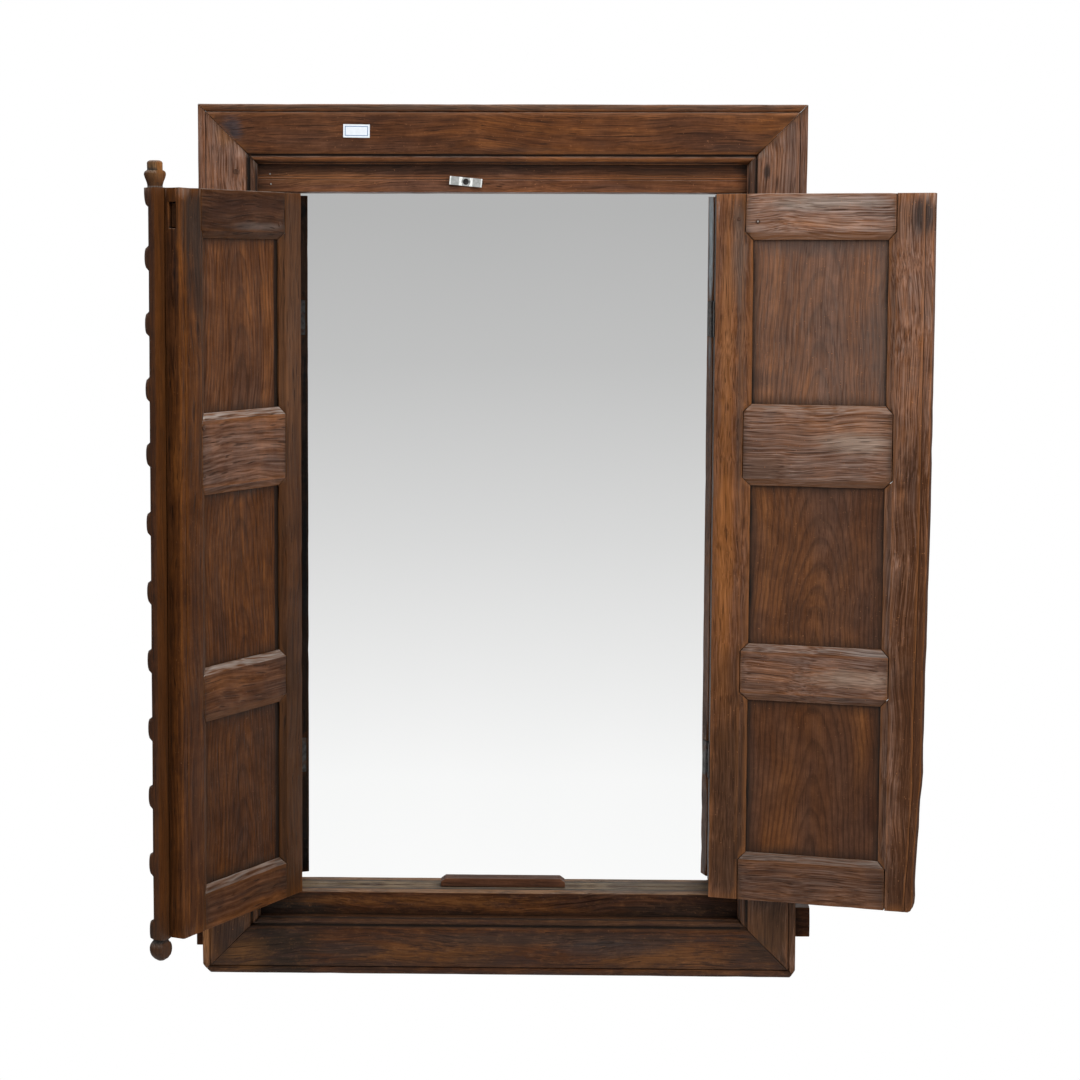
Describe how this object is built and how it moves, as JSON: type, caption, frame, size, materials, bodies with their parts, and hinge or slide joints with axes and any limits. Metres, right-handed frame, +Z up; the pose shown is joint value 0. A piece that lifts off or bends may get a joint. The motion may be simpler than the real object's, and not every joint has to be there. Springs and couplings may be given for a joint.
{
  "type": "jharokha mirror",
  "caption": "Old wooden window frame hung as a wall mirror, with hinged panelled shutters, a bossed cover strip and a turn button over recessed glass.",
  "frame": {"origin": "centre of the back face, on the wall", "axes": "+X to the right as seen from the front, +Y into the wall, +Z up; the front faces -Y"},
  "size_m": [1.071, 0.3528, 1.252],
  "materials": {
    "architrave_wood": "old oiled hardwood, worn and slightly glossy",
    "frame_wood": "old oiled hardwood, weathered",
    "stop_block_wood": "stained hardwood",
    "left_shutter_wood": "old oiled hardwood",
    "left_panel_wood": "old oiled hardwood",
    "right_shutter_wood": "old oiled hardwood, rubbed paler",
    "right_panel_wood": "old oiled hardwood",
    "astragal_wood": "dark oiled hardwood",
    "silvered_glass": "clear silvered float glass",
    "plywood": "bare plywood",
    "old_iron": "dark iron",
    "chromed_steel": "bright plated steel"
  },
  "bodies": {
    "frame": {"architrave_top": "architrave_wood", "architrave_right": "architrave_wood", "architrave_bottom": "architrave_wood", "architrave_left": "architrave_wood", "head_beam": "frame_wood", "sill_beam": "frame_wood", "jamb_left": "frame_wood", "jamb_right": "frame_wood", "mirror_glass": "silvered_glass", "backing_board": "plywood", "stop_block": "stop_block_wood", "hanger_left": "old_iron", "hanger_right": "old_iron", "turn_button_screw": "old_iron", "left_lower_hinge_jamb_plate": "old_iron", "left_lower_hinge_pin": "old_iron", "left_upper_hinge_jamb_plate": "old_iron", "left_upper_hinge_pin": "old_iron", "right_lower_hinge_jamb_plate": "old_iron", "right_lower_hinge_pin": "old_iron", "right_upper_hinge_jamb_plate": "old_iron", "right_upper_hinge_pin": "old_iron"},
    "left_shutter": {"left_hinge_stile": "left_shutter_wood", "left_free_stile": "left_shutter_wood", "left_top_rail": "left_shutter_wood", "left_upper_mid_rail": "left_shutter_wood", "left_lower_mid_rail": "left_shutter_wood", "left_bottom_rail": "left_shutter_wood", "left_upper_panel": "left_panel_wood", "left_middle_panel": "left_panel_wood", "left_lower_panel": "left_panel_wood", "left_lower_hinge_leaf_plate": "old_iron", "left_upper_hinge_leaf_plate": "old_iron", "astragal": "astragal_wood"},
    "right_shutter": {"right_hinge_stile": "right_shutter_wood", "right_free_stile": "right_shutter_wood", "right_top_rail": "right_shutter_wood", "right_upper_mid_rail": "right_shutter_wood", "right_lower_mid_rail": "right_shutter_wood", "right_bottom_rail": "right_shutter_wood", "right_upper_panel": "right_panel_wood", "right_middle_panel": "right_panel_wood", "right_lower_panel": "right_panel_wood", "right_lower_hinge_leaf_plate": "old_iron", "right_upper_hinge_leaf_plate": "old_iron"},
    "turn_button": {"turn_button": "chromed_steel"}
  },
  "joints": [
    {"name": "left_shutter_hinge", "type": "hinge", "parent": "frame", "child": "left_shutter", "pos_m": [-0.3075, -0.0591, 0], "axis": [0, 0, 1], "range_deg": [-46.8, 117]},
    {"name": "right_shutter_hinge", "type": "hinge", "parent": "frame", "child": "right_shutter", "pos_m": [0.3075, -0.0591, 0], "axis": [0, 0, -1], "range_deg": [0, 163.8]},
    {"name": "turn_button_pivot", "type": "hinge", "parent": "frame", "child": "turn_button", "pos_m": [-0.0512, -0.0556, 0.5178], "axis": [0, -1, 0], "continuous": true}
  ]
}
